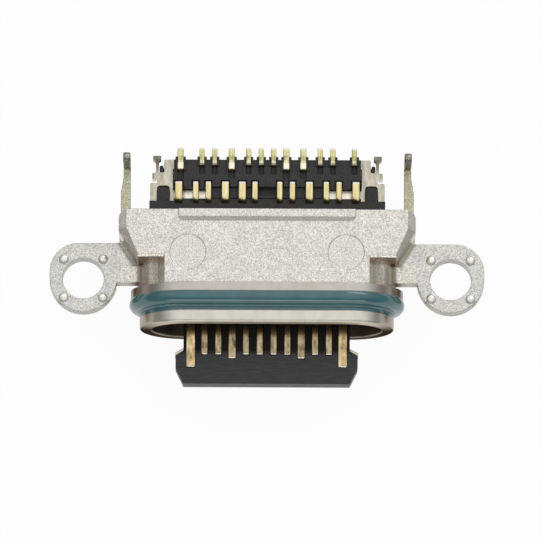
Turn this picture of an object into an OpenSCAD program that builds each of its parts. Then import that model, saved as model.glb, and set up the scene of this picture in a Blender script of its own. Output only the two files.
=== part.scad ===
// Sealed charging port: a screw-down receptacle for a reversible 24-contact plug.
// X runs across the port, -Y is the side where the plug enters, +Z faces the circuit board.
// The origin lies midway between the two screw holes, on the face of the ears that seats on the frame.

/* [Plug opening] */
// Width of the plug opening
mouth_w = 8.34; // [8.1:0.01:8.7]
// Height of the plug opening
mouth_h = 2.56; // [2.4:0.01:2.8]
// Front rim of the collar, ahead of the screw line
rim_reach = 1.85; // [1.6:0.01:2.1]
// Bevel inside the front rim
mouth_lead = 0.03; // [0.02:0.01:0.15]

/* [Collar and seal] */
// Wall of the front lip
lip_wall = 0.44; // [0.3:0.01:0.5]
// Length of the front lip
lip_len = 0.44; // [0.3:0.01:0.5]
// Rounding of the lip's outer edge
lip_round = 0.10; // [0.05:0.01:0.2]
// Wall under the seal
groove_wall = 0.22; // [0.15:0.01:0.28]
// Width of the seal groove
seal_w = 0.64; // [0.5:0.01:0.8]
// Height of the seal above the flange
seal_proud = 0.05; // [0.02:0.01:0.15]
// Radius of the seal's main lip
seal_main_r = 0.30; // [0.2:0.01:0.32]
// Distance from the flange to the main lip's crest
seal_crest = 0.16; // [0.05:0.01:0.25]
// Radius of the seal's front lip
seal_front_r = 0.12; // [0.08:0.01:0.18]
// Gap from the collar's lip to the seal's front lip
seal_front_gap = 0.10; // [0:0.01:0.15]
// Drop from the main lip's crest to the front lip's crest
seal_front_drop = 0.27; // [0.2:0.01:0.3]
// Wall of the flange
flange_wall = 0.77; // [0.6:0.01:0.9]
// Thickness of the flange
flange_t = 0.325; // [0.2:0.005:0.45]
// Wall of the tube behind the flange
tube_wall = 0.47; // [0.35:0.01:0.55]

/* [Shell] */
// Wall above and below the plug opening at the flat top
top_wall = 0.57; // [0.5:0.01:0.68]
// Wall beside the plug opening in the rear box
side_wall = 1.20; // [1.0:0.01:1.4]
// Width of the raised shoulder behind the flange, at its top
shoulder_w = 7.40; // [6.8:0.01:7.8]
// How far each side of the shoulder slopes out down to the tube
shoulder_slope = 0.25; // [0.1:0.01:0.3]
// Front ledge of the rear box, behind the screw line
ledge_y = 0.515; // [0.3:0.005:0.7]
// How far the box narrows on each side towards its ledge
ledge_inset = 0.67; // [0.4:0.01:0.8]
// Where the slanted corner meets the side, behind the screw line
corner_y = 1.52; // [1.35:0.01:1.7]
// Rear face of the shell, behind the screw line
shell_y = 2.27; // [2.1:0.01:2.5]
// Rounding of the rear corners
corner_r = 0.30; // [0.1:0.01:0.4]
// Bevel of the long side edges
side_bevel = 0.28; // [0.1:0.01:0.4]
// Bevel of the ledge's edge
ledge_bevel = 0.08; // [0.02:0.01:0.15]
// Spacing of the ejector marks
mark_spacing = 5.72; // [5:0.01:6]
// Centre of the ejector marks, behind the screw line
mark_y = 0.69; // [0.6:0.01:0.9]
// Radius of the ejector marks
mark_r = 0.655; // [0.4:0.005:0.8]
// Depth of the ejector marks
mark_depth = 0.03; // [0.02:0.01:0.1]
// Width of the rear rib
rib_w = 6.40; // [5:0.01:7]
// Length of the rear rib along the plug axis
rib_len = 0.28; // [0.2:0.01:0.4]
// Length of the slope in front of the rear rib
rib_slope = 0.15; // [0.05:0.01:0.25]
// Height of the rear rib
rib_h = 0.10; // [0.05:0.01:0.2]

/* [Screw ears] */
// Distance between the two screw holes
hole_spacing = 13.32; // [13:0.01:14]
// Diameter of each screw hole
hole_d = 1.50; // [1.2:0.01:1.7]
// Outer radius of each ear
ear_r = 1.22; // [1.1:0.01:1.4]
// Thickness of each ear
ear_t = 0.65; // [0.5:0.01:1.2]
// Rear edge of the ear, behind the screw line
ear_back = 1.31; // [1.2:0.01:1.35]
// Rounding of the ear's outer rear corner
ear_corner_r = 1.05; // [0.8:0.01:1.15]
// Front edge of the neck, ahead of the screw line
neck_front = 0.15; // [0.1:0.01:0.3]
// Fillet between the ear and the shell
neck_fillet = 0.30; // [0.1:0.01:0.35]
// Offset of each bump from the hole, both ways
bump_offset = 0.71; // [0.65:0.01:0.75]
// Diameter of each bump
bump_d = 0.36; // [0.2:0.01:0.4]
// Height of each bump
bump_h = 0.07; // [0.04:0.01:0.12]

/* [Solder legs] */
// Width of a leg at the shell
leg_w = 0.35; // [0.3:0.01:0.45]
// Gap from the leg's outer face to the side of the box
leg_inset = 0.06; // [0:0.01:0.15]
// Thickness of a leg
leg_t = 0.40; // [0.3:0.01:0.5]
// Width of the upright pin
pin_w = 0.26; // [0.2:0.01:0.3]
// Depth of the upright pin along the plug axis
pin_d = 0.33; // [0.25:0.01:0.4]
// Height of the pin above the leg
pin_h = 1.40; // [0.8:0.01:1.8]
// Radius of the pin's domed tip
pin_dome_r = 0.23; // [0.22:0.01:0.4]
// Rear face of the pin, behind the shell
leg_reach = 2.05; // [1.7:0.01:2.4]
// Where the leg starts to taper, behind the shell
leg_taper = 0.85; // [0.6:0.01:1.2]
// Length of the leg's taper
taper_len = 0.55; // [0.3:0.01:0.7]
// Fillet at the foot of the pin
pin_fillet = 0.12; // [0.05:0.01:0.2]
// Drop from the solder face to the leg's board face
leg_below = 0.04; // [0:0.01:0.1]

/* [Tongue] */
// Tip of the tongue, ahead of the screw line
tip_reach = 3.87; // [3.7:0.01:4.1]
// Length of the tongue from its root to its tip
tongue_len = 4.45; // [4.3:0.01:4.6]
// Thickness of the tongue
tongue_t = 0.70; // [0.66:0.01:0.76]
// Plastic outside the last contact on the tongue's neck
tongue_edge = 0.095; // [0.05:0.005:0.15]
// Depth of the latch notch on each side
notch_depth = 0.285; // [0.2:0.005:0.4]
// Start of the notch's slope, behind the tip
notch_start = 1.22; // [1.1:0.01:1.4]
// Length of the notch's slope
notch_slope = 0.18; // [0.1:0.01:0.3]
// Length of the chamfer at the tip
tip_chamfer = 0.57; // [0.3:0.01:0.7]

/* [Contacts] */
// Pitch of the contacts on the tongue
pitch = 0.50; // [0.48:0.01:0.52]
// Thickness of the contact strip
contact_t = 0.12; // [0.1:0.01:0.14]
// Height of the contacts above the plastic of the tongue
contact_proud = 0.02; // [0.01:0.005:0.04]
// Width of the ground blades
ground_w = 0.33; // [0.28:0.01:0.36]
// Width of the power blades
power_w = 0.28; // [0.24:0.01:0.32]
// Width of the signal blades
signal_w = 0.24; // [0.2:0.01:0.28]
// Setback of the ground blades from the tip
ground_setback = 0.60; // [0.5:0.01:0.7]
// Setback of the power blades from the tip
power_setback = 0.92; // [0.8:0.01:1.0]
// Setback of the signal blades from the tip
signal_setback = 1.06; // [0.95:0.01:1.15]
// Bevel at the tip of each blade
tip_bevel = 0.06; // [0.02:0.01:0.1]
// Width of the wide front tails
wide_tail_w = 0.27; // [0.22:0.01:0.3]
// Width of the narrow front tails
narrow_tail_w = 0.21; // [0.16:0.01:0.25]
// Width of the rear tails that bend late
rear_tail_w = 0.20; // [0.16:0.01:0.24]
// Width of the rear tails that bend early
early_tail_w = 0.235; // [0.2:0.005:0.25]
// Height of the tails' solder face above the insulator's base
tail_lift = 0.14; // [0.13:0.01:0.3]
// Offset of the two middle front tails from the middle plane
front_first = 0.45; // [0.4:0.01:0.5]
// Offset of the two middle rear tails from the middle plane
rear_first = 0.225; // [0.2:0.005:0.25]
// Close step from tail to tail
close_step = 0.46; // [0.44:0.005:0.48]
// Wide step from tail to tail
wide_step = 0.615; // [0.58:0.005:0.65]
// Step to the last rear tail
last_step = 0.78; // [0.7:0.01:0.82]
// Riser of the front tails, ahead of the base's rear face
riser_setback = 0.11; // [0.05:0.01:0.3]
// Length of the front tails from their riser
front_tail_len = 0.83; // [0.7:0.01:0.95]
// Outer radius of the front tails' bend
bend_r = 0.26; // [0.14:0.01:0.3]
// Early bends of the rear tails, ahead of the tail block's rear face
early_bend = 0.41; // [0.35:0.01:0.5]
// Late bends of the rear tails, ahead of the tail block's rear face
late_bend = 0.24; // [0.2:0.01:0.3]
// Depth of the crease in the rear tails
crease = 0.06; // [0.02:0.01:0.08]
// Length of the crease in the rear tails
crease_len = 0.26; // [0.15:0.01:0.3]
// Length of the slope at the end of each tail
end_len = 0.09; // [0.04:0.01:0.12]
// Drop of the slope at the end of each tail
end_drop = 0.045; // [0.02:0.005:0.08]
// Length of the rear tails behind the tail block
rear_tail_len = 0.44; // [0.3:0.01:0.6]

/* [Insulator] */
// Length of the thick root behind the tongue
root_len = 1.02; // [0.8:0.01:1.2]
// Plastic above the tongue's face on the root
root_step = 0.31; // [0.2:0.01:0.5]
// Plastic outside the last front tail on the root
root_edge = 0.10; // [0.05:0.01:0.15]
// Length kept straight at both ends of the contacts' jog
jog_margin = 0.12; // [0.05:0.01:0.2]
// Gap between the insulator and the plug opening
plug_fit = 0.02; // [0.01:0.01:0.05]
// How far the base stands out beside the plug opening
base_lip = 0.11; // [0.05:0.01:0.2]
// Length of the base behind the shell
base_len = 0.57; // [0.45:0.01:0.75]
// Plastic of the base over the contact strip
base_cover = 0.19; // [0.12:0.01:0.25]
// Length of the step behind the base, over the plate's arms
step_len = 0.10; // [0.05:0.01:0.12]
// Drop from the top of the base to the step
step_below = 0.05; // [0.02:0.01:0.1]
// Depth of the base under the plug axis
base_drop = 0.90; // [0.7:0.01:1.1]
// Gap between the base and the tail block
block_gap = 0.52; // [0.48:0.01:0.7]
// Length of the tail block
block_len = 1.00; // [0.9:0.01:1.1]
// Depth of the tail block under the plug axis
block_drop = 0.60; // [0.5:0.01:0.8]
// Plastic outside the last rear tail
block_edge = 0.13; // [0.1:0.01:0.2]
// Drop from the solder face to the top of the tail block
block_below = 0.08; // [0.05:0.01:0.1]
// Drop from the solder face to the top of the bridge between base and tail block
bridge_below = 0.20; // [0.15:0.01:0.3]
// Drop from the solder face to the top of the posts in the wings
post_below = 0.35; // [0.2:0.01:0.45]
// Gap from the end of each post to the end of its window
post_gap = 0.10; // [0.02:0.01:0.15]
// Room round the ends of the front tails in the tail block
tail_room = 0.04; // [0.02:0.01:0.06]
// Length of the slot ahead of each rear tail
slot_len = 0.30; // [0.2:0.01:0.35]
// Depth of the slots and of the middle pocket
slot_depth = 0.12; // [0.05:0.01:0.2]
// Width of the middle pocket
pocket_w = 0.62; // [0.5:0.01:0.68]
// Length of the middle pocket
pocket_len = 0.26; // [0.2:0.01:0.3]
// Wall of the cheeks beside each rear tail
cheek_t = 0.07; // [0.04:0.01:0.09]
// How far the cheeks stand out behind the tail block
cheek_reach = 0.10; // [0.05:0.01:0.2]
// Drop from the solder face to the top of the cheeks
cheek_below = 0.03; // [0.01:0.01:0.05]

/* [Plates and sealant] */
// Thickness of the mid plate
plate_t = 0.15; // [0.1:0.01:0.18]
// Setback of the mid plate from the tongue's tip
plate_setback = 0.55; // [0.4:0.01:0.7]
// How far the mid plate stands out behind the slope of the latch notch
latch_proud = 0.15; // [0.05:0.01:0.25]
// How far the mid plate stands out beside the tongue's head
latch_side = 0.02; // [0.01:0.005:0.05]
// How far the wing's inner strip reaches in front of the tail block
wing_overlap = 0.02; // [0.01:0.01:0.05]
// Width of the wing's outer strip
wing_outer_w = 0.25; // [0.15:0.01:0.3]
// Width of the window in the wing
window_w = 0.46; // [0.4:0.01:0.5]
// Width of the wing's inner strip
wing_inner_w = 0.17; // [0.12:0.01:0.2]
// Length of the window in the wing
window_len = 0.66; // [0.5:0.01:0.7]
// Rounding of the window's corners
window_r = 0.12; // [0.05:0.01:0.16]
// Length of the bar behind the window
bar_len = 0.50; // [0.45:0.01:0.6]
// Inner end of the plate's arms beside the tail block
arm_x = 2.12; // [1.9:0.01:2.3]
// Width of the spur behind the bar
spur_w = 0.335; // [0.25:0.005:0.36]
// Length of the spur behind the bar
spur_len = 0.47; // [0.3:0.01:0.6]
// Chamfer of the wing's outer corner
wing_chamfer = 0.03; // [0.02:0.01:0.15]
// Length of the wing's outer strip behind the window
wing_tail = 0.10; // [0.05:0.01:0.25]
// Width of the notch between spur and hook, which takes the insulator's peg
notch_w = 0.19; // [0.16:0.01:0.24]
// Length of the peg in the notch, along the plug axis
peg_len = 0.25; // [0.22:0.01:0.28]
// Width of the bent hook's neck
hook_w = 0.11; // [0.08:0.01:0.16]
// How far the hook's head reaches over the notch
hook_head_in = 0.09; // [0.05:0.01:0.14]
// How far the hook's head reaches outwards past its neck
hook_head_out = 0.09; // [0:0.01:0.12]
// Reach of the bent hook behind the bar
hook_reach = 0.42; // [0.25:0.01:0.5]
// Height of the bent hook above the plug axis
hook_h = 0.95; // [0.7:0.01:1.2]
// Width of the bent side tab
tab_w = 0.21; // [0.12:0.01:0.24]
// How far the bent side tab stands out beside the window
tab_reach = 0.18; // [0.16:0.01:0.25]
// Drop of the bent side tab under the plug axis
tab_drop = 0.45; // [0.2:0.01:0.55]
// Gap between the ground plates and the contact blades
ground_plate_gap = 0.05; // [0.03:0.01:0.1]
// Thickness of the ground plates
ground_plate_t = 0.10; // [0.06:0.01:0.15]
// Thickness of the rear sealant
sealant_t = 0.25; // [0.15:0.01:0.3]
// Depth of the sealant pocket
sealant_len = 0.34; // [0.2:0.01:0.5]

/* [Hidden] */
$fn = 64;
row_n = 12;
half_n = row_n / 2;
// Overrun of a cut past a face, and of a joined shape into its neighbour
past = 0.05;
// Gap between stamped edges and the plastic beside them
edge_gap = 0.02;
// Bend chamfer of the rear tails
bend_c = 0.06;
// Contacts with a wide front tail, and contacts whose rear bend starts early
wide_tails = [1, 4, 5, 9, 12];
early_bends = [1, 4, 8, 9];

// Stations along the plug axis
rim_y = -rim_reach;
lip_y = rim_y + lip_len;
flange_y = lip_y + seal_w;
tube_y = flange_y + flange_t;
tip_y = -tip_reach;
root_y = tip_y + tongue_len;
wall_y = root_y + root_len;
base_y = shell_y + base_len;
block_y = base_y + block_gap;
block_end = block_y + block_len;

// Rounds of the oblong sections
mouth_r = mouth_h / 2;
end_x = mouth_w / 2 - mouth_r;
lip_r = mouth_r + lip_wall;
groove_r = mouth_r + groove_wall;
flange_r = mouth_r + flange_wall;
tube_r = mouth_r + tube_wall;
seal_r = flange_r + seal_proud;
plug_w = mouth_w - 2 * plug_fit;
plug_h = mouth_h - 2 * plug_fit;

// Heights, from the plug axis
axis_z = ear_t / 2;
body_rise = mouth_r + top_wall;
plate_z = plate_t / 2;
strip_top = tongue_t / 2 + contact_proud;
strip_low = strip_top - contact_t;
root_rise = tongue_t / 2 + root_step;
base_rise = strip_top + base_cover;
solder_z = base_rise + tail_lift;
tail_low = solder_z - contact_t;
block_rise = solder_z - block_below;
cheek_rise = solder_z - cheek_below;
bridge_rise = solder_z - bridge_below;
post_rise = solder_z - post_below;
leg_top = solder_z - leg_below;

// Places of the tails from the middle outwards
front_tail_x = tail_places(front_first, wide_step);
rear_tail_x = tail_places(rear_first, last_step);

// Half widths
box_x = mouth_w / 2 + side_wall;
ledge_x = box_x - ledge_inset;
slant = [box_x - ledge_x, corner_y - ledge_y];
ear_x = hole_spacing / 2;
neck_x = ((row_n - 1) * pitch + ground_w) / 2 + tongue_edge;
head_x = neck_x + notch_depth;
root_x = front_tail_x[half_n - 1] + wide_tail_w / 2 + root_edge;
base_x = mouth_w / 2 + base_lip;
block_x = rear_tail_x[half_n - 1] + early_tail_w / 2 + block_edge;
wing_in = block_x - wing_overlap;
inner_x = wing_in + wing_inner_w;
window_x = inner_x + window_w;
wing_x = window_x + wing_outer_w;
bar_in = block_x + edge_gap;
spur_x = bar_in + spur_w;
hook_in = spur_x + notch_w;
hook_out = hook_in + hook_w;
peg_x = spur_x + notch_w / 2;
peg_r = notch_w / 2 - edge_gap;
leg_out = box_x - leg_inset;
leg_in = leg_out - leg_w;

// Contact rows
front_riser_y = base_y - riser_setback;
front_tail_y = front_riser_y + front_tail_len;
rear_tail_y = block_end + rear_tail_len;
crease_y = block_end - late_bend / 2;
jog_y = root_y + jog_margin;
jog_end = wall_y - jog_margin;

// Stations of the wings
bar_y = base_y + window_len;
bar_end = bar_y + bar_len;
strip_end = bar_y + wing_tail;
hook_end = bar_end + hook_reach;

contact_names = [for (row = ["a", "b"]) for (i = [1 : row_n]) str("contact_", row, i)];

function has(list, i) = len(search(i, list)) > 0;
function side(i) = i <= half_n ? -1 : 1;
function rank(i) = i <= half_n ? half_n - i : i - half_n - 1;
function is_ground(i) = rank(i) == half_n - 1;
function is_power(i) = rank(i) == half_n / 2 - 1;
function blade_x(i) = side(i) * (rank(i) + 0.5) * pitch;
function blade_w(i) = is_ground(i) ? ground_w : is_power(i) ? power_w : signal_w;
function setback(i) = is_ground(i) ? ground_setback : is_power(i) ? power_setback : signal_setback;
function blade_y(i) = tip_y + setback(i);
function tail_w(i) = has(wide_tails, i) ? wide_tail_w : narrow_tail_w;
function bend_y(i) = block_end - (has(early_bends, i) ? early_bend : late_bend);
function rear_w(i) = has(early_bends, i) ? early_tail_w : rear_tail_w;
function front_x(i) = side(i) * front_tail_x[rank(i)];
function rear_x(i) = side(i) * rear_tail_x[rank(i)];

// Places of one side's tails, from the middle outwards
function tail_places(first, last) =
    let (second = first + close_step, fourth = second + 2 * wide_step, fifth = fourth + close_step)
    [first, second, second + wide_step, fourth, fifth, fifth + last];

// Outline of one side, from a list of its +X points, closed by its mirror image
function mirrored(side_points) = concat(
    side_points,
    [for (k = [len(side_points) - 1 : -1 : 0]) [-side_points[k].x, side_points[k].y]]
);

// Carries shapes drawn about the plug axis to the height of the seating face
module on_axis() {
    translate([0, 0, axis_z]) children();
}

// Box between two corners
module block(low, high) {
    translate(low) cube(high - low);
}

module both_sides() {
    children();
    mirror([1, 0, 0]) children();
}

module both_faces() {
    children();
    mirror([0, 0, 1]) children();
}

// X-Z section run along the plug axis
module along_y(from, to) {
    translate([0, to, 0]) rotate([90, 0, 0]) linear_extrude(to - from) children();
}

// Y-Z section run across the port
module across_x(from, to) {
    translate([from, 0, 0]) rotate([90, 0, 90]) linear_extrude(to - from) children();
}

// X-Y outline raised between two heights
module upright(from, to) {
    translate([0, 0, from]) linear_extrude(to - from) children();
}

module oblong(w, h) {
    square([w - h, h], center = true);
    for (s = [-1, 1]) translate([s * (w - h) / 2, 0]) circle(h / 2);
}

// Section drawn as radius and station, swept round the oblong
module oblong_sweep() {
    both_sides() translate([end_x, 0, 0]) rotate([-90, 0, 0])
        rotate_extrude(angle = 180, start = -90) children();
    both_faces() rotate([0, -90, 0]) linear_extrude(2 * end_x, center = true) children();
}

// Section of a concave fillet in the corner of two faces, towards +X and +Y
module fillet_section(r) {
    difference() {
        translate([-past, -past]) square(r + past);
        translate([r, r]) circle(r);
    }
}

module collar_section() {
    polygon([
        [0, rim_y], [lip_r - lip_round, rim_y], [lip_r, rim_y + lip_round], [lip_r, lip_y],
        [groove_r, lip_y], [groove_r, flange_y], [flange_r, flange_y], [flange_r, tube_y],
        [tube_r, tube_y], [tube_r, ledge_y + past], [0, ledge_y + past]
    ]);
    translate([lip_r - lip_round, rim_y + lip_round]) circle(lip_round);
}

module box_outline() {
    polygon(mirrored([
        [ledge_x, ledge_y], [box_x, corner_y], [box_x, shell_y - corner_r], [box_x - corner_r, shell_y]
    ]));
    for (s = [-1, 1]) translate([s * (box_x - corner_r), shell_y - corner_r]) circle(corner_r);
}

// Section of the box with bevelled long edges
module box_section() {
    polygon(mirrored([
        [box_x - side_bevel, -body_rise], [box_x, side_bevel - body_rise],
        [box_x, body_rise - side_bevel], [box_x - side_bevel, body_rise]
    ]));
}

// Section of a cut that bevels an edge at the origin, between a face towards +X and one towards +Y
module bevel_section(bevel) {
    polygon([[past, -bevel - past], [past, past], [-bevel - past, past]]);
}

// Cut along the upper edge of the slanted corner on the +X side, narrowing to the ledge's bevel
module slant_cut() {
    growth = (side_bevel - ledge_bevel) / norm(slant);
    normal = norm([1, growth, 1]);
    reach = norm(slant) + side_bevel;
    translate([ledge_x, ledge_y, body_rise]) rotate(-atan2(slant.x, slant.y))
        rotate([0, acos(1 / normal), atan2(growth, 1)])
            translate([-reach, -reach, -ledge_bevel / normal]) cube(2 * reach);
}

// Cut along the upper edge of the ledge
module ledge_cut() {
    across_x(-box_x, box_x) translate([ledge_y, body_rise]) mirror([1, 0]) bevel_section(ledge_bevel);
}

// Upper half of the shoulder, with sides that slope down to the tube
module shoulder_section() {
    foot_x = shoulder_w / 2 + shoulder_slope;
    foot_z = sqrt(pow(tube_r, 2) - pow(foot_x - end_x, 2));
    polygon(mirrored([[foot_x, 0], [foot_x, foot_z], [shoulder_w / 2, body_rise]]));
}

module shell_box() {
    difference() {
        intersection() {
            upright(-body_rise, body_rise) box_outline();
            along_y(ledge_y - past, shell_y + past) box_section();
        }
        both_sides() both_faces() slant_cut();
        both_faces() ledge_cut();
    }
    both_faces() along_y(tube_y - past, ledge_y + ledge_bevel + past) shoulder_section();
}

// The ear on the +X side, with its neck
module ear_outline() {
    translate([ear_x, 0]) {
        circle(ear_r);
        translate([ear_r - ear_corner_r, ear_back - ear_corner_r]) circle(ear_corner_r);
        square([ear_r, ear_back - ear_corner_r]);
    }
    polygon([
        [end_x, -neck_front], [ear_x, -neck_front], [ear_x + ear_r - ear_corner_r, 0],
        [ear_x + ear_r - ear_corner_r, ear_back], [end_x, ear_back]
    ]);
}

module bump() {
    bump_sphere_r = (pow(bump_d / 2, 2) + pow(bump_h, 2)) / (2 * bump_h);
    translate([0, 0, bump_h - bump_sphere_r]) sphere(bump_sphere_r);
}

// Fillet from the ear up to the slanted corner of the box
module corner_fillet() {
    intersection() {
        translate([ledge_x, ledge_y, ear_t / 2]) rotate(atan2(slant.y, slant.x))
            across_x(-neck_fillet, norm(slant) + neck_fillet) mirror([1, 0]) fillet_section(neck_fillet);
        block([ledge_x - past, ledge_y - past, 0], [ear_x, ear_back, body_rise]);
    }
}

// Fillet from the ear's neck up to the round side of the tube
module tube_fillet() {
    rise = ear_t / 2 + neck_fillet;
    centre = [end_x + sqrt(pow(tube_r + neck_fillet, 2) - pow(rise, 2)), rise];
    along_y(-neck_front, ledge_y + past) difference() {
        polygon([[end_x, 0], [centre.x, 0], centre]);
        translate(centre) circle(neck_fillet);
    }
}

module ear() {
    upright(-ear_t / 2, ear_t / 2) ear_outline();
    both_faces() {
        corner_fillet();
        tube_fillet();
    }
    for (s = [-1, 1], t = [-1, 1])
        translate([ear_x + s * bump_offset, t * bump_offset, ear_t / 2]) bump();
}

module leg() {
    pin_out = leg_in + pin_w;
    middle_x = (leg_in + pin_out) / 2;
    pin_y = shell_y + leg_reach - pin_d;
    pin_end = shell_y + leg_reach;
    pin_top = leg_top + pin_h;
    upright(leg_top - leg_t, leg_top) polygon([
        [leg_in, shell_y - corner_r - past], [leg_out, shell_y - corner_r - past],
        [leg_out, shell_y + leg_taper], [pin_out, shell_y + leg_taper + taper_len],
        [pin_out, pin_end], [leg_in, pin_end]
    ]);
    intersection() {
        block([leg_in, pin_y, leg_top - leg_t], [pin_out, pin_end, pin_top]);
        translate([middle_x, pin_end - pin_d / 2, pin_top - pin_dome_r]) union() {
            sphere(pin_dome_r);
            block([-pin_w, -pin_d, -pin_h - leg_t], [pin_w, pin_d, 0]);
        }
    }
    across_x(leg_in, pin_out)
        translate([pin_y, leg_top]) mirror([1, 0]) fillet_section(pin_fillet);
}

// Rib along the rear edge, with a sloped front and cut-off corners
module rib() {
    crest_y = shell_y - rib_len;
    front_y = crest_y - rib_slope;
    intersection() {
        upright(body_rise - past, body_rise + rib_h) polygon(mirrored([
            [rib_w / 2 - rib_slope, front_y], [rib_w / 2, crest_y], [rib_w / 2, shell_y]
        ]));
        across_x(-rib_w, rib_w) polygon([
            [front_y, body_rise - past], [front_y, body_rise], [crest_y, body_rise + rib_h],
            [shell_y, body_rise + rib_h], [shell_y, body_rise - past]
        ]);
    }
}

module housing() {
    color("silver") on_axis() difference() {
        union() {
            oblong_sweep() collar_section();
            shell_box();
            rib();
            both_sides() ear();
            both_sides() leg();
        }
        along_y(rim_y - past, shell_y + past) oblong(mouth_w, mouth_h);
        oblong_sweep() polygon([
            [0, rim_y - past], [mouth_r + mouth_lead + past, rim_y - past],
            [mouth_r, rim_y + mouth_lead], [0, rim_y + mouth_lead]
        ]);
        along_y(shell_y - sealant_len, shell_y + past) sealant_section();
        both_sides() translate([ear_x, 0, -ear_t]) cylinder(d = hole_d, h = 2 * ear_t);
        both_sides() translate([mark_spacing / 2, mark_y, body_rise - mark_depth])
            cylinder(r = mark_r, h = mark_depth + past);
    }
}

// Silicone ring with a main lip and a lower front lip
module seal_ring() {
    main_centre = [seal_r - seal_main_r, flange_y - seal_crest];
    main_y = main_centre.y - seal_main_r;
    front_centre = [seal_r - seal_front_drop - seal_front_r, lip_y + seal_front_gap + seal_front_r];
    color("teal") on_axis() oblong_sweep() {
        translate([groove_r, lip_y]) square([front_centre.x - groove_r, seal_w]);
        translate([groove_r, main_y]) square([main_centre.x - groove_r, flange_y - main_y]);
        intersection() {
            translate(main_centre) circle(seal_main_r);
            translate([main_centre.x, main_y - past]) square([2 * seal_main_r, flange_y - main_y + past]);
        }
        translate(front_centre) circle(seal_front_r);
    }
}

module sealant_section() {
    oblong(mouth_w + 2 * sealant_t, mouth_h + 2 * sealant_t);
}

module rear_seal() {
    color("dimgray") on_axis() along_y(shell_y - sealant_len, shell_y) difference() {
        sealant_section();
        oblong(plug_w, plug_h);
    }
}

// One contact: a blade on the tongue, a sideways jog in the root, and a tail
module strip_outline(i, tail_x, w, end_y) {
    polygon([
        [blade_x(i) - blade_w(i) / 2, blade_y(i)], [blade_x(i) + blade_w(i) / 2, blade_y(i)],
        [blade_x(i) + blade_w(i) / 2, jog_y], [tail_x + w / 2, jog_end],
        [tail_x + w / 2, end_y], [tail_x - w / 2, end_y],
        [tail_x - w / 2, jog_end], [blade_x(i) - blade_w(i) / 2, jog_y]
    ]);
}

// Quarter bend of a strip about its centre, from the riser's top to the tail's start
module bend_section(centre) {
    translate(centre) intersection() {
        difference() {
            circle(bend_r);
            circle(bend_r - contact_t);
        }
        translate([-bend_r, 0]) square(bend_r);
    }
}

module upper_contact_solid(i) {
    tail_x = front_x(i);
    w = tail_w(i);
    riser_end = front_riser_y + contact_t;
    bend = [front_riser_y + bend_r, solder_z - bend_r];
    upright(strip_low, strip_top) strip_outline(i, tail_x, w, riser_end);
    across_x(tail_x - w / 2, tail_x + w / 2) {
        translate([front_riser_y, strip_low]) square([contact_t, bend.y - strip_low]);
        bend_section(bend);
        polygon([
            [bend.x, tail_low], [front_tail_y, tail_low], [front_tail_y, solder_z - end_drop],
            [front_tail_y - end_len, solder_z], [bend.x, solder_z]
        ]);
    }
}

module lower_contact_solid(i) {
    tail_x = rear_x(i);
    w = rear_w(i);
    riser_y = bend_y(i);
    riser_end = riser_y + contact_t;
    upright(-strip_top, -strip_low) strip_outline(i, tail_x, w, riser_end);
    across_x(tail_x - w / 2, tail_x + w / 2) polygon([
        [riser_y, -strip_top], [riser_end, -strip_top], [riser_end, tail_low],
        [rear_tail_y, tail_low], [rear_tail_y, solder_z - end_drop],
        [rear_tail_y - end_len, solder_z], [crease_y + crease_len, solder_z],
        [crease_y + crease, solder_z - crease], [crease_y, solder_z],
        [riser_y + bend_c, solder_z], [riser_y, solder_z - bend_c]
    ]);
}

// Cut that bevels the tip of a blade in the upper row
module tip_cut(i) {
    across_x(blade_x(i) - blade_w(i), blade_x(i) + blade_w(i))
        translate([blade_y(i), strip_top]) mirror([1, 0]) bevel_section(tip_bevel);
}

module upper_contact(i) {
    color("gold") on_axis() difference() {
        upper_contact_solid(i);
        tip_cut(i);
    }
}

module lower_contact(i) {
    color("gold") on_axis() difference() {
        lower_contact_solid(i);
        mirror([0, 0, 1]) tip_cut(i);
    }
}

module upper_row() {
    for (i = [1 : row_n]) upper_contact_solid(i);
}

module lower_row() {
    for (i = [1 : row_n]) lower_contact_solid(i);
}

// Tongue, root and base of the mid plate on the +X side
module plate_outline() {
    plate_tip = tip_y + plate_setback;
    latch_x = head_x + latch_side;
    latch_y = tip_y + notch_start + latch_proud;
    latch_low = tip_y + notch_start - notch_slope - past;
    translate([0, plate_tip]) square([neck_x - edge_gap, shell_y - plate_tip]);
    polygon([
        [0, latch_low], [latch_x, latch_low], [latch_x, latch_y - notch_slope],
        [neck_x - edge_gap, latch_y], [0, latch_y]
    ]);
    translate([0, wall_y]) square([plug_w / 2 - edge_gap, shell_y - wall_y]);
    translate([0, shell_y]) square([wing_x, base_len]);
    translate([arm_x, base_y]) square([wing_in - arm_x + wing_inner_w / 2, block_gap - edge_gap]);
}

// Opening of the window, or the shorter post in it
module window_outline(length) {
    translate([inner_x, base_y]) square([window_w, length - window_r]);
    translate([inner_x + window_r, base_y]) square([window_w - 2 * window_r, length]);
    for (x = [inner_x + window_r, window_x - window_r])
        translate([x, base_y + length - window_r]) circle(window_r);
}

// Wing on the +X side, with its window, spur and the flat part of the hook
module wing_outline() {
    difference() {
        polygon([
            [wing_in, base_y - past], [wing_in, block_y - edge_gap], [bar_in, block_y - edge_gap],
            [bar_in, bar_end + spur_len], [spur_x, bar_end + spur_len], [spur_x, bar_end],
            [hook_in, bar_end], [hook_in, hook_end], [hook_out, hook_end], [hook_out, bar_end],
            [window_x, bar_end - hook_w], [window_x, strip_end], [wing_x - wing_chamfer, strip_end],
            [wing_x, strip_end - wing_chamfer], [wing_x, base_y - past]
        ]);
        window_outline(window_len);
    }
}

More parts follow.
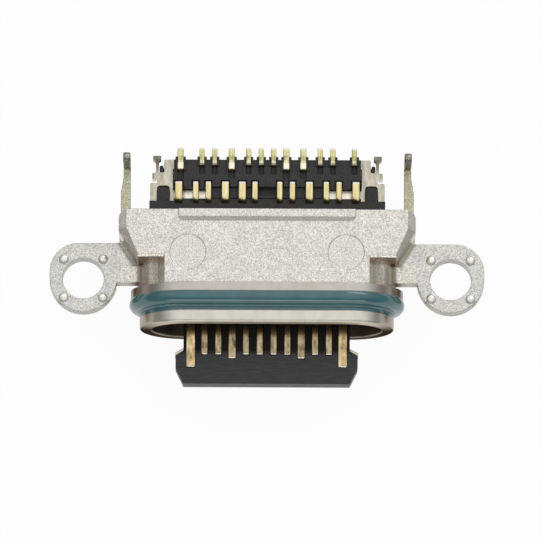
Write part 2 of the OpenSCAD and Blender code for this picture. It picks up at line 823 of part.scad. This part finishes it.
// Hook bent up towards the board, with a head wider than its neck
module hook() {
    neck_z = hook_h / 3;
    head_z = 2 * hook_h / 3;
    along_y(hook_end - plate_t, hook_end) polygon([
        [hook_in, -plate_z], [hook_out, -plate_z], [hook_out, neck_z], [hook_out + hook_head_out, head_z],
        [hook_out + hook_head_out, hook_h], [hook_in - hook_head_in, hook_h],
        [hook_in - hook_head_in, head_z], [hook_in, neck_z]
    ]);
}

// Tab bent down at the side of the bar
module side_tab() {
    tab_out = window_x + tab_reach;
    tab_in = tab_out - plate_t;
    along_y(bar_end - edge_gap - tab_w, bar_end - edge_gap) polygon([
        [window_x - past, -plate_z], [window_x - past, plate_z], [tab_out - plate_z, plate_z],
        [tab_out, 0], [tab_out, -tab_drop], [tab_in, -tab_drop], [tab_in, -plate_z]
    ]);
}

module mid_plate_solid() {
    both_sides() {
        upright(-plate_z, plate_z) {
            plate_outline();
            wing_outline();
        }
        hook();
        side_tab();
    }
}

module mid_plate() {
    color("lightgray") on_axis() mid_plate_solid();
}

module tongue() {
    color("dimgray") on_axis() difference() {
        upright(-tongue_t / 2, tongue_t / 2) polygon(mirrored([
            [neck_x, root_y], [neck_x, tip_y + notch_start], [head_x, tip_y + notch_start - notch_slope],
            [head_x, tip_y + tip_chamfer], [neck_x, tip_y]
        ]));
        mid_plate_solid();
        upper_row();
        lower_row();
    }
}

module upper_carrier() {
    color("dimgray") on_axis() difference() {
        union() {
            block([-root_x, root_y, plate_z], [root_x, wall_y, root_rise]);
            intersection() {
                along_y(wall_y, shell_y) oblong(plug_w, plug_h);
                block([-mouth_w, wall_y, plate_z], [mouth_w, shell_y, mouth_h]);
            }
            block([-base_x, shell_y, plate_z], [base_x, base_y, base_rise]);
            block([-block_x, base_y - past, plate_z], [block_x, base_y + step_len, base_rise - step_below]);
        }
        upper_row();
    }
}

// Black cheeks that stand out on both sides of a rear tail
module cheeks(i) {
    reach_x = rear_w(i) / 2 + cheek_t;
    block(
        [rear_x(i) - reach_x, bend_y(i), -block_drop],
        [rear_x(i) + reach_x, block_end + cheek_reach, cheek_rise]
    );
}

// Slot in the tail block ahead of a rear tail's bend
module bend_slot(i) {
    block(
        [rear_x(i) - rear_w(i) / 2, bend_y(i) - slot_len, block_rise - slot_depth],
        [rear_x(i) + rear_w(i) / 2, bend_y(i), block_rise + past]
    );
}

// Room between the cheeks for a rear tail
module tail_slot(i) {
    block(
        [rear_x(i) - rear_w(i) / 2, bend_y(i), tail_low],
        [rear_x(i) + rear_w(i) / 2, block_end + cheek_reach + past, cheek_rise + past]
    );
}

// Room in the tail block for the end of a front tail
module tail_end_slot(i) {
    reach_x = tail_w(i) / 2 + tail_room;
    block(
        [front_x(i) - reach_x, block_y - past, tail_low - tail_room],
        [front_x(i) + reach_x, front_tail_y + tail_room, block_rise + past]
    );
}

module tail_block() {
    difference() {
        union() {
            block([-block_x, block_y, -block_drop], [block_x, block_end, block_rise]);
            for (i = [1 : row_n]) cheeks(i);
        }
        for (i = [1 : row_n]) {
            bend_slot(i);
            tail_slot(i);
            tail_end_slot(i);
        }
    }
}

// Plastic between base and tail block, with a pocket in the middle
module bridge() {
    bridge_x = arm_x - edge_gap;
    difference() {
        block([-bridge_x, base_y + step_len + edge_gap, -block_drop], [bridge_x, block_y, bridge_rise]);
        translate([-pocket_w / 2, block_y - pocket_len - tail_room, bridge_rise - slot_depth])
            cube([pocket_w, pocket_len, slot_depth + past]);
    }
}

// Plastic under the window and the bar of the wing
module wing_shelf() {
    block([block_x - past, base_y, -block_drop], [window_x - edge_gap, bar_end - edge_gap, -plate_z]);
}

// Peg in the notch of the wing, with the arm that carries it under the plate
module peg() {
    peg_y = bar_end + edge_gap + peg_r;
    peg_end = bar_end + peg_len - peg_r;
    upright(-block_drop, plate_z) {
        translate([peg_x, peg_y]) circle(peg_r);
        translate([peg_x, peg_end]) circle(peg_r);
        translate([peg_x - peg_r, peg_y]) square([2 * peg_r, peg_end - peg_y]);
    }
    block([block_x - past, peg_y, -block_drop], [peg_x, peg_end, -plate_z]);
}

module lower_carrier() {
    color("dimgray") on_axis() difference() {
        union() {
            block([-root_x, root_y, -root_rise], [root_x, wall_y, -plate_z]);
            intersection() {
                along_y(wall_y, shell_y) oblong(plug_w, plug_h);
                block([-mouth_w, wall_y, -mouth_h], [mouth_w, shell_y, -plate_z]);
            }
            block([-base_x, shell_y, -base_drop], [base_x, base_y, -plate_z]);
            block([-block_x, base_y, -block_drop], [block_x, block_y, -plate_z]);
            bridge();
            tail_block();
            both_sides() {
                upright(-block_drop, post_rise) window_outline(window_len - post_gap);
                wing_shelf();
                peg();
            }
        }
        lower_row();
    }
}

module upper_ground_plate() {
    color("lightgray") on_axis() ground_plate();
}

module lower_ground_plate() {
    color("lightgray") on_axis() mirror([0, 0, 1]) ground_plate();
}

module ground_plate() {
    across_x(-root_x, root_x) polygon([
        [root_y - ground_plate_t, strip_top + ground_plate_gap], [root_y, strip_top + ground_plate_gap],
        [root_y, root_rise],
        [wall_y, root_rise], [wall_y, root_rise + ground_plate_t],
        [root_y - ground_plate_t, root_rise + ground_plate_t]
    ]);
}

housing();
seal_ring();
rear_seal();
tongue();
upper_carrier();
lower_carrier();
mid_plate();
upper_ground_plate();
lower_ground_plate();
for (i = [1 : row_n]) {
    upper_contact(i);
    lower_contact(i);
}
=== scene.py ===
"""Looks of the charging port: rounded edges, materials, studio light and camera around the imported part."""

import math

import bpy
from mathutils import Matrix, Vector


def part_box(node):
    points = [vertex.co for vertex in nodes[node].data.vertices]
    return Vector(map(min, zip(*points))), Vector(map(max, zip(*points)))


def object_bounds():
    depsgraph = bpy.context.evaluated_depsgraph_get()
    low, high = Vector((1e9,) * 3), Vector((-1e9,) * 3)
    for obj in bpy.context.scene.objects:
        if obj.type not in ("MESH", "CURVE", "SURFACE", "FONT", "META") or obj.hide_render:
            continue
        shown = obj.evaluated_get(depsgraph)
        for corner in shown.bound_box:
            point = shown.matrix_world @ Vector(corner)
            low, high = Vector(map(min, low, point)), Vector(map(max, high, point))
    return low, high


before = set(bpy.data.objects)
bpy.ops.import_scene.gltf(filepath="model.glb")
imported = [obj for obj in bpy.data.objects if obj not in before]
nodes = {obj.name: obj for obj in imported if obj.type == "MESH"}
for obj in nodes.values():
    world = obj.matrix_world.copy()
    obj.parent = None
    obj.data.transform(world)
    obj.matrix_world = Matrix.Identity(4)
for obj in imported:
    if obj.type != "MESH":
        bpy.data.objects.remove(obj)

MM = 0.001
WHITE = (1, 1, 1)
cad_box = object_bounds()
scene = bpy.context.scene

# Where the shell's finish and its painted light and shade change, in millimetres: each change's start and
# end
LIP_TO_FLANGE_Y = (-1.20, -1.00)
COLLAR_TO_SHELL_Y = (-0.48, -0.40)
COLLAR_ENDS_X = (3.60, 4.50)
RIM_Z = (0.20, 1.80)
SIDES_X = (4.72, 4.90)
FLANKS_X = (5.60, 5.45)
SLANT_Z = (0.65, 2.17)
EARS_X = (5.20, 5.50)
BUMPS_X = (5.50, 5.70)
BUMPS_Z = (0.66, 0.69)
RIB_Y = (1.50, 1.70)
LEGS_Y = (2.25, 2.60)
PINS_Z = (1.05, 1.35)

# The same for the mid plate, the tongue and the contacts
ARMS_X = (3.05, 2.95)
HOOKS_Z = (0.42, 0.60)
BETWEEN_BLADES_Y = (-2.85, -2.60)
INNER_BLADES_X = (2.60, 2.45)
BLADES_IN_MOUTH_Y = (-2.18, -1.98)
BLADE_TO_TAIL_Y = (0.0, 1.5)
REAR_TAILS_Y = (3.70, 3.85)
REAR_TIPS_Y = (4.16, 4.30)

# Turns of a face over which its painted light and shade change: the Y part of its normal, -1 towards the
# plug
RIM_TURN = (-0.50, -0.90)
RIB_TURN = (-0.25, -0.50)
SLANT_TURN = (-0.20, -0.50)
EAR_WALL_TURN = (-0.30, -0.70)
TAIL_FRONT_TURN = (-0.20, -0.80)
TAIL_BACK_TURN = (0.15, 0.50)
BLADE_TIP_TURN = (-0.20, -0.60)

# Openness of a recess, 1 on open faces, over which its metal turns dull
DULL_RECESS = (0.55, 0.25)

# Colour sockets of Blender's Mix node, and ray counts of its corner and edge nodes
MIX_FACTOR, MIX_A, MIX_B, MIX_RESULT = 0, 6, 7, 2
CORNER_SAMPLES = 8
EDGE_SAMPLES = 6


# Node helpers
class Shader:
    """Builds one material's node tree in a few words per node."""

    def __init__(self, name):
        self.mat = bpy.data.materials.new(name)
        self.mat.use_nodes = True
        self.tree = self.mat.node_tree
        self.tree.nodes.clear()
        self.out = self.add("ShaderNodeOutputMaterial")
        self.bsdf = self.add("ShaderNodeBsdfPrincipled")
        self.link((self.bsdf, "BSDF"), self.out, "Surface")
        self.coord = self.add("ShaderNodeTexCoord")

    def add(self, kind, **props):
        node = self.tree.nodes.new(kind)
        for key, value in props.items():
            setattr(node, key, value)
        return node

    def link(self, source, node, socket):
        self.tree.links.new(source[0].outputs[source[1]], node.inputs[socket])

    def feed(self, node, socket, value):
        """Links a (node, output) pair to a socket, or sets a plain value on it."""
        if isinstance(value, tuple) and isinstance(value[0], bpy.types.Node):
            self.link(value, node, socket)
        else:
            node.inputs[socket].default_value = value

    def place(self, stretch=(1, 1, 1)):
        """Object coordinates in millimetres, stretched."""
        node = self.add("ShaderNodeMapping")
        node.inputs["Scale"].default_value = [c / MM for c in stretch]
        self.link((self.coord, "Object"), node, "Vector")
        return (node, "Vector")

    def noise(self, scale, detail=3.0, rough=0.6, stretch=(1, 1, 1)):
        """Cloudy noise, with scale as waves per millimetre."""
        node = self.add("ShaderNodeTexNoise")
        node.inputs["Scale"].default_value = scale
        node.inputs["Detail"].default_value = detail
        node.inputs["Roughness"].default_value = rough
        self.link(self.place(stretch), node, "Vector")
        return (node, "Fac")

    def along(self, axis):
        """One object coordinate in millimetres."""
        node = self.add("ShaderNodeSeparateXYZ")
        self.link(self.place(), node, "Vector")
        return (node, axis)

    def across(self):
        """Distance from the part's middle plane in millimetres."""
        return self.size(self.along("X"))

    def ramp(self, source, stops):
        """Colour ramp; each stop is a position with a grey value or a colour."""
        node = self.add("ShaderNodeValToRGB")
        elements = node.color_ramp.elements
        while len(elements) < len(stops):
            elements.new(0.5)
        for element, (pos, value) in zip(elements, stops):
            element.position = pos
            element.color = (*value, 1) if isinstance(value, tuple) else (value, value, value, 1)
        self.link(source, node, "Fac")
        return (node, "Color")

    def fade(self, source, start, end):
        """Goes smoothly from 0 at start to 1 at end."""
        node = self.add("ShaderNodeMapRange", interpolation_type="SMOOTHSTEP")
        self.link(source, node, "Value")
        node.inputs["From Min"].default_value = start
        node.inputs["From Max"].default_value = end
        return (node, "Result")

    def larger(self, a, b):
        node = self.add("ShaderNodeMath", operation="MAXIMUM")
        self.link(a, node, 0)
        self.link(b, node, 1)
        return (node, "Value")

    def mix(self, kind, fac, a, b):
        """Two colours mixed or multiplied, by a factor."""
        node = self.add("ShaderNodeMix", data_type="RGBA", blend_type=kind)
        for index, value in ((MIX_FACTOR, fac), (MIX_A, a), (MIX_B, b)):
            plain_colour = isinstance(value, tuple) and len(value) == 3
            self.feed(node, index, (*value, 1) if plain_colour else value)
        return (node, MIX_RESULT)

    def product(self, *colours):
        """Colours multiplied together."""
        total = colours[0]
        for colour in colours[1:]:
            total = self.mix("MULTIPLY", 1.0, total, colour)
        return total

    def corners(self, reach_mm):
        """1 on open faces, falling towards 0 in corners."""
        node = self.add("ShaderNodeAmbientOcclusion", samples=CORNER_SAMPLES)
        node.inputs["Distance"].default_value = reach_mm * MM
        return (node, "AO")

    def facing(self, axis):
        """One component of the surface normal."""
        node = self.add("ShaderNodeSeparateXYZ")
        self.link((self.coord, "Normal"), node, "Vector")
        return (node, axis)

    def size(self, source):
        """A value without its sign."""
        node = self.add("ShaderNodeMath", operation="ABSOLUTE")
        self.link(source, node, 0)
        return (node, "Value")

    def level(self):
        """1 on level faces, falling to 0 on upright walls."""
        return self.size(self.facing("Z"))

    def soft_edges(self, radius_mm):
        """Normals rounded over sharp edges."""
        node = self.add("ShaderNodeBevel", samples=EDGE_SAMPLES)
        node.inputs["Radius"].default_value = radius_mm * MM
        return (node, "Normal")

    def bump(self, source, height_mm, normal=None):
        node = self.add("ShaderNodeBump")
        node.inputs["Distance"].default_value = height_mm * MM
        self.link(source, node, "Height")
        if normal:
            self.link(normal, node, "Normal")
        return (node, "Normal")

    def set(self, **values):
        """Sets or links the main shader's sockets, named with _ for a space."""
        for key, value in values.items():
            self.feed(self.bsdf, key.replace("_", " "), value)


def scaled(colour, k):
    return tuple(c * k for c in colour)


# Tints of the shell, most of them painted light and shade
def recess_shade(s, sides, depth):
    """Painted shade: brown darkening in the shell's recesses and corners, paler at its sides and ears."""
    deep = s.ramp(depth, [
        (0.08, (0.28, 0.255, 0.245)), (0.25, (0.68, 0.57, 0.51)), (0.42, (0.98, 0.86, 0.79)), (0.70, 1.0)
    ])
    shallow = s.ramp(depth, [(0.10, 0.50), (0.40, (0.96, 0.93, 0.90)), (0.70, 1.0)])
    return s.mix("MIX", sides, deep, shallow)


def collar_tint_and_end_shade(s, y, across):
    """Pale lip and greyer flange, both browner at their round ends with painted shade."""
    tint = s.mix("MIX", s.fade(y, *LIP_TO_FLANGE_Y), (0.92, 0.92, 0.90), (0.74, 0.74, 0.73))
    return s.mix("MULTIPLY", s.fade(across, *COLLAR_ENDS_X), tint, (0.70, 0.65, 0.63))


def slant_light_and_shade(s, z):
    """Painted highlight at the foot of the slanted walls beside the ears, and painted shade under their
    upper edge.
    """
    return s.ramp(s.fade(z, *SLANT_Z), [
        (0.0, 0.80), (0.01, 1.70), (0.55, 1.25), (0.92, 0.66), (1.0, 0.78)
    ])


def ear_tone_and_bump_glint(s, across, z):
    """Cool grey ears, with a painted highlight on their bumps."""
    bumps = s.product(s.fade(across, *BUMPS_X), s.fade(z, *BUMPS_Z))
    return s.mix("MIX", bumps, (0.88, 0.89, 0.92), (1.25, 1.25, 1.25))


def leg_reflection_and_shade(s, z):
    """Painted olive reflection on the legs, and painted shade that makes the pins greyer and darker."""
    return s.mix("MIX", s.fade(z, *PINS_Z), (0.68, 0.67, 0.55), (0.46, 0.46, 0.44))


# Materials
def shell_metal(name):
    """Fine-blasted metal with a smooth collar, painted shade on its walls and in its brown recesses, and a
    painted olive reflection on its legs.
    """
    s = Shader(name)
    across, y, z = s.across(), s.along("Y"), s.along("Z")
    ahead, depth = s.facing("Y"), s.corners(reach_mm=1.6)
    sides, ears = s.fade(across, *SIDES_X), s.fade(across, *EARS_X)
    blasted = s.larger(s.fade(y, *COLLAR_TO_SHELL_Y), ears)

    grains = s.mix("MIX", blasted, (0.5, 0.5, 0.5), s.noise(scale=21.0, detail=2.0))
    tone = s.ramp(grains, [
        (0.38, (0.53, 0.515, 0.46)), (0.50, (0.72, 0.70, 0.635)), (0.62, (0.87, 0.86, 0.80))
    ])
    cloudy = s.ramp(s.noise(scale=2.6, detail=4.0), [(0.30, (0.88, 0.875, 0.86)), (0.65, 1.0)])
    # Painted shade: upright walls darker and browner than level faces.
    walls = s.ramp(s.level(), [(0.15, (0.76, 0.71, 0.65)), (0.65, (0.84, 0.82, 0.79)), (0.92, 1.0)])
    collar = s.mix("MIX", blasted, collar_tint_and_end_shade(s, y, across), WHITE)
    colour = s.product(tone, cloudy, walls, recess_shade(s, sides, depth), collar)

    # Painted shade and highlight: front faces of the collar dark low down and brightened to a line at the
    # top; the same tint also darkens their reflections through Specular Tint.
    rim_shade_and_glint = s.ramp(s.fade(z, *RIM_Z), [(0.0, (0.20, 0.18, 0.175)), (1.0, 1.35)])
    upright = s.fade(ahead, *RIM_TURN)
    front = s.mix("MIX", upright, WHITE, s.mix("MIX", blasted, rim_shade_and_glint, WHITE))
    colour = s.product(colour, front)
    # Painted shade on the front slope of the rib.
    rib_front_shade = s.ramp(s.fade(y, *RIB_Y), [(0.0, 1.0), (1.0, 0.90)])
    colour = s.mix("MULTIPLY", s.fade(ahead, *RIB_TURN), colour, rib_front_shade)

    # Painted highlight and shade on the slanted walls beside the ears.
    flanks = s.product(sides, s.fade(across, *FLANKS_X), s.fade(ahead, *SLANT_TURN))
    colour = s.mix("MULTIPLY", flanks, colour, slant_light_and_shade(s, z))
    # Painted shade on the ears' front walls.
    ear_wall_shade = s.product(ears, s.fade(ahead, *EAR_WALL_TURN))
    colour = s.mix("MULTIPLY", ear_wall_shade, colour, (0.72, 0.76, 0.80))
    # Cool grey ears with painted highlights on the bumps.
    colour = s.mix("MULTIPLY", ears, colour, ear_tone_and_bump_glint(s, across, z))
    # Painted reflection and shade on the legs and pins.
    colour = s.mix("MULTIPLY", s.fade(y, *LEGS_Y), colour, leg_reflection_and_shade(s, z))

    dull = s.fade(depth, *DULL_RECESS)
    smooth = s.ramp(s.larger(upright, dull), [(0.0, 0.28), (1.0, 0.60)])
    rough = s.mix("MIX", dull, s.ramp(grains, [(0.30, 0.38), (0.70, 0.24)]), (0.60, 0.60, 0.60))
    gloss = s.mix("MIX", blasted, smooth, rough)
    relief = s.bump(grains, height_mm=0.002, normal=s.soft_edges(radius_mm=0.06))
    s.set(Base_Color=colour, Metallic=1.0, Roughness=gloss, Specular_Tint=front, Normal=relief)
    return s.mat


def plate_steel(name):
    """Stamped steel, pale and warm, with faint rolling lines, painted shade in its corners, arms brightened
    by a painted reflection and bent hooks greyed by painted shade.
    """
    s = Shader(name)
    lines = s.noise(scale=8.0, stretch=(1.0, 0.25, 1.0))
    tone = s.ramp(lines, [
        (0.30, (0.41, 0.38, 0.30)), (0.50, (0.54, 0.505, 0.405)), (0.70, (0.65, 0.62, 0.51))
    ])
    # Painted shade: darker and browner in corners.
    corner_shade = s.ramp(s.corners(reach_mm=0.2), [(0.10, (0.45, 0.40, 0.33)), (0.35, 1.0)])
    # Painted reflection: pale and bright towards the middle, on the arms.
    colour = s.mix("MIX", s.fade(s.across(), *ARMS_X), s.product(tone, corner_shade), (0.92, 0.87, 0.75))
    # Painted shade: the bent hooks that stand up from the plate are darker grey.
    colour = s.mix("MULTIPLY", s.fade(s.along("Z"), *HOOKS_Z), colour, (0.38, 0.38, 0.40))
    gloss = s.ramp(lines, [(0.30, 0.30), (0.70, 0.20)])
    relief = s.bump(lines, height_mm=0.001, normal=s.soft_edges(radius_mm=0.03))
    s.set(Base_Color=colour, Metallic=1.0, Roughness=gloss, Normal=relief)
    return s.mat


def rubber(name, base):
    """Moulded silicone with a satin skin."""
    s = Shader(name)
    skin = s.noise(scale=14.0)
    clouds = s.noise(scale=1.2, detail=2.0)
    tone = s.ramp(clouds, [(0.30, scaled(base, 0.85)), (0.70, scaled(base, 1.15))])
    gloss = s.ramp(skin, [(0.30, 0.13), (0.70, 0.20)])
    relief = s.bump(skin, height_mm=0.0005)
    s.set(Base_Color=tone, Roughness=gloss, Specular_IOR_Level=1.0, Normal=relief)
    return s.mat


def moulded_plastic(name, base, rough, stretch=(1, 1, 1), shaded_and_dull_y=None):
    """Glass-filled plastic with a fine grain, with painted shade on its walls and in its corners.

    rough is its roughness at the grain's two ends, and past the given Y span it turns dull and darker with
    painted shade.
    """
    s = Shader(name)
    grain = s.noise(scale=11.0, detail=4.0, stretch=stretch)
    tone = s.ramp(grain, [(0.30, scaled(base, 0.55)), (0.50, base), (0.72, scaled(base, 1.8))])
    # Painted shade on upright walls and in corners.
    walls = s.ramp(s.level(), [(0.30, 0.45), (0.80, 1.0)])
    shade = s.ramp(s.corners(reach_mm=0.5), [(0.15, (0.20, 0.16, 0.14)), (0.65, 1.0)])
    colour = s.product(tone, walls, shade)
    gleam = 0.40
    if shaded_and_dull_y is not None:
        # Painted shade: darker deeper into the mouth, and duller.
        dull = s.fade(s.along("Y"), *shaded_and_dull_y)
        colour = s.product(colour, s.ramp(dull, [(0.0, 1.0), (1.0, (0.40, 0.32, 0.28))]))
        gleam = s.ramp(dull, [(0.0, gleam), (1.0, 0.08)])
    gloss = s.ramp(grain, [(0.30, rough[0]), (0.70, rough[1])])
    relief = s.bump(grain, height_mm=0.003, normal=s.soft_edges(radius_mm=0.03))
    s.set(Base_Color=colour, Roughness=gloss, Specular_IOR_Level=gleam, Normal=relief)
    return s.mat


def tail_gold_and_painted_light(s, y, turned, marks):
    """Pale gold, with painted light: a paler stretch towards the rear as a painted highlight, olive tips and
    dark fronts at the bends as painted shade, and bright backs at the bends as painted highlights.
    """
    gold = s.ramp(marks, [
        (0.30, (0.62, 0.51, 0.24)), (0.50, (0.78, 0.67, 0.36)), (0.70, (0.92, 0.84, 0.54))
    ])
    olive = s.ramp(marks, [
        (0.30, (0.42, 0.38, 0.17)), (0.50, (0.62, 0.58, 0.28)), (0.70, (0.82, 0.78, 0.46))
    ])
    # Painted highlight and shade along the tails and at their bends.
    colour = s.mix("MIX", s.fade(y, *REAR_TAILS_Y), gold, (0.93, 0.88, 0.70))
    colour = s.mix("MIX", s.fade(y, *REAR_TIPS_Y), colour, olive)
    colour = s.mix("MULTIPLY", s.fade(turned, *TAIL_FRONT_TURN), colour, (0.68, 0.60, 0.42))
    return s.mix("MIX", s.fade(turned, *TAIL_BACK_TURN), colour, (0.95, 0.93, 0.84))


def blade_colour_and_painted_light(s, y, turned, smudges):
    """Bronze with dark wear, greyer on the inner blades, darker in the mouth with a painted shadow of the
    lip, and pale at the tips with a painted highlight.
    """
    bronze = s.ramp(smudges, [
        (0.32, (0.17, 0.12, 0.065)), (0.45, (0.50, 0.385, 0.205)), (0.65, (0.80, 0.63, 0.36))
    ])
    colour = s.mix("MULTIPLY", s.fade(s.across(), *INNER_BLADES_X), bronze, (0.66, 0.69, 0.76))
    # Painted shadow of the collar's lip on the blades in the mouth.
    colour = s.mix("MULTIPLY", s.fade(y, *BLADES_IN_MOUTH_Y), colour, (0.60, 0.53, 0.45))
    # Painted highlight on the blades' front-facing tips.
    return s.mix("MIX", s.fade(turned, *BLADE_TIP_TURN), colour, (0.92, 0.86, 0.70))


def plated_strip(name):
    """Gold-plated strip: bronze blades on the tongue, and pale bright tails behind them, both with painted
    light.
    """
    s = Shader(name)
    marks = s.noise(scale=10.0, stretch=(1.6, 0.15, 1.6))
    smudges = s.noise(scale=4.5, detail=4.0, rough=0.65, stretch=(1.4, 0.5, 1.0))
    y, turned = s.along("Y"), s.facing("Y")
    blade = blade_colour_and_painted_light(s, y, turned, smudges)
    colour = s.mix("MIX", s.fade(y, *BLADE_TO_TAIL_Y), blade, tail_gold_and_painted_light(s, y, turned, marks))
    gloss = s.ramp(smudges, [(0.30, 0.30), (0.70, 0.18)])
    relief = s.bump(marks, height_mm=0.001)
    s.set(Base_Color=colour, Metallic=1.0, Roughness=gloss, Normal=relief)
    return s.mat


steel = plate_steel("plate_steel")
black = moulded_plastic("insulator", (0.025, 0.024, 0.0235), rough=(0.42, 0.60))
gold = plated_strip("contact_gold")
looks = {
    "housing": shell_metal("shell_metal"),
    "seal_ring": rubber("seal_rubber", (0.018, 0.110, 0.127)),
    "rear_seal": moulded_plastic("sealant", (0.030, 0.029, 0.028), rough=(0.52, 0.70)),
    "tongue": moulded_plastic(
        "tongue_plastic", (0.025, 0.0255, 0.0255), rough=(0.37, 0.55),
        stretch=(0.2, 2.0, 1.0), shaded_and_dull_y=BETWEEN_BLADES_Y,
    ),
    "upper_carrier": black,
    "lower_carrier": black,
    "mid_plate": steel,
    "upper_ground_plate": steel,
    "lower_ground_plate": steel,
}
for name, obj in nodes.items():
    obj.data.materials.clear()
    obj.data.materials.append(looks.get(name, gold))


# Rounded edges
def round_edges(obj, width_mm, segments=2, sharp_deg=32.0, flat_deg=0.5, weld_mm=0.0005):
    """Rounds an object's sharp edges, with flat faces merged first."""
    weld = obj.modifiers.new("weld", "WELD")
    weld.merge_threshold = weld_mm * MM
    flat = obj.modifiers.new("flat", "DECIMATE")
    flat.decimate_type = "DISSOLVE"
    flat.angle_limit = math.radians(flat_deg)
    bevel = obj.modifiers.new("bevel", "BEVEL")
    bevel.width = width_mm * MM
    bevel.segments = segments
    bevel.limit_method = "ANGLE"
    bevel.angle_limit = math.radians(sharp_deg)
    bevel.use_clamp_overlap = False
    bevel.harden_normals = True


for name, obj in nodes.items():
    if name.startswith("contact_"):
        round_edges(obj, width_mm=0.035)


# Floor, light and camera
def look_at(obj, target):
    obj.rotation_euler = (Vector(target) - obj.location).to_track_quat("-Z", "Y").to_euler()


def seen_directly(tree):
    """1 for camera, glossy and transmission rays, which see the white studio."""
    path = tree.nodes.new("ShaderNodeLightPath")
    total = path.outputs["Is Camera Ray"]
    for ray in ("Is Glossy Ray", "Is Transmission Ray"):
        larger = tree.nodes.new("ShaderNodeMath")
        larger.operation = "MAXIMUM"
        tree.links.new(total, larger.inputs[0])
        tree.links.new(path.outputs[ray], larger.inputs[1])
        total = larger.outputs[0]
    return total


def white_floor(paper_grey, white_share):
    """Pale floor: a share of it shows as plain white, and the rest takes light and shadow."""
    mat = bpy.data.materials.new("floor_white")
    mat.use_nodes = True
    tree = mat.node_tree
    tree.nodes.clear()
    out = tree.nodes.new("ShaderNodeOutputMaterial")
    paper = tree.nodes.new("ShaderNodeBsdfDiffuse")
    paper.inputs["Color"].default_value = (paper_grey, paper_grey, paper_grey, 1)
    white = tree.nodes.new("ShaderNodeEmission")
    share = tree.nodes.new("ShaderNodeMath")
    share.operation = "MULTIPLY"
    share.inputs[1].default_value = white_share
    both = tree.nodes.new("ShaderNodeMixShader")
    tree.links.new(seen_directly(tree), share.inputs[0])
    tree.links.new(share.outputs[0], both.inputs[0])
    tree.links.new(paper.outputs[0], both.inputs[1])
    tree.links.new(white.outputs[0], both.inputs[2])
    tree.links.new(both.outputs[0], out.inputs["Surface"])
    return mat


def studio_world(bright_from, bright, dim, spread):
    """World that is bright on one side and dim on the other, and white to the camera."""
    world = bpy.data.worlds.new("studio")
    world.use_nodes = True
    tree = world.node_tree
    tree.nodes.clear()
    out = tree.nodes.new("ShaderNodeOutputWorld")
    coord = tree.nodes.new("ShaderNodeTexCoord")
    facing = tree.nodes.new("ShaderNodeVectorMath")
    facing.operation = "DOT_PRODUCT"
    facing.inputs[1].default_value = Vector(bright_from).normalized()
    level = tree.nodes.new("ShaderNodeMapRange")
    level.interpolation_type = "SMOOTHSTEP"
    level.inputs["From Min"].default_value = spread[0]
    level.inputs["From Max"].default_value = spread[1]
    level.inputs["To Min"].default_value = dim
    level.inputs["To Max"].default_value = bright
    room = tree.nodes.new("ShaderNodeBackground")
    room.inputs["Color"].default_value = (*WHITE, 1)
    white = tree.nodes.new("ShaderNodeBackground")
    white.inputs["Color"].default_value = (*WHITE, 1)
    path = tree.nodes.new("ShaderNodeLightPath")
    both = tree.nodes.new("ShaderNodeMixShader")
    tree.links.new(coord.outputs["Generated"], facing.inputs[0])
    tree.links.new(facing.outputs["Value"], level.inputs["Value"])
    tree.links.new(level.outputs["Result"], room.inputs["Strength"])
    tree.links.new(path.outputs["Is Camera Ray"], both.inputs[0])
    tree.links.new(room.outputs[0], both.inputs[1])
    tree.links.new(white.outputs[0], both.inputs[2])
    tree.links.new(both.outputs[0], out.inputs["Surface"])
    return world


def softbox(name, where_mm, size_mm, radiance):
    """Rectangular lamp that faces the part."""
    light = bpy.data.lights.new(name, "AREA")
    light.shape = "RECTANGLE"
    light.size = size_mm[0] * MM
    light.size_y = size_mm[1] * MM
    light.energy = radiance * math.pi * light.size * light.size_y
    obj = bpy.data.objects.new(name, light)
    obj.location = [c * MM for c in where_mm]
    look_at(obj, (0, 0, 0))
    scene.collection.objects.link(obj)


floor_size = 2.0
bpy.ops.mesh.primitive_plane_add(size=floor_size, location=(0, 0, cad_box[0][2]))
floor = bpy.context.object
floor.name = "floor"
floor.data.materials.append(white_floor(paper_grey=0.94, white_share=0.94))

scene.world = studio_world(bright_from=(0.08, 0.36, 0.92), bright=1.06, dim=0.34, spread=(0.3, 0.95))
softbox("key", where_mm=(110, 220, 200), size_mm=(160, 120), radiance=1.8)
softbox("front", where_mm=(0, -280, 85), size_mm=(320, 110), radiance=1.6)

seal_low, seal_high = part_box("seal_ring")
axis_z = (seal_low[2] + seal_high[2]) / 2
centre_x, centre_y, centre_rise = 0.145 * MM, 0.264 * MM, 0.5 * MM
target = Vector((centre_x, centre_y, axis_z + centre_rise))
elevation = math.radians(78.4)
roll = math.radians(0.26)
distance = 320 * MM
frame_width = 19.64 * MM
camera = bpy.data.cameras.new("camera")
camera.lens = camera.sensor_width * distance / frame_width
camera.clip_start = 10 * MM
camera_obj = bpy.data.objects.new("camera", camera)
camera_obj.location = target + distance * Vector((0, -math.cos(elevation), math.sin(elevation)))
look_at(camera_obj, target)
camera_obj.rotation_euler.rotate_axis("Z", roll)
scene.collection.objects.link(camera_obj)
scene.camera = camera_obj

scene.view_settings.view_transform = "Standard"
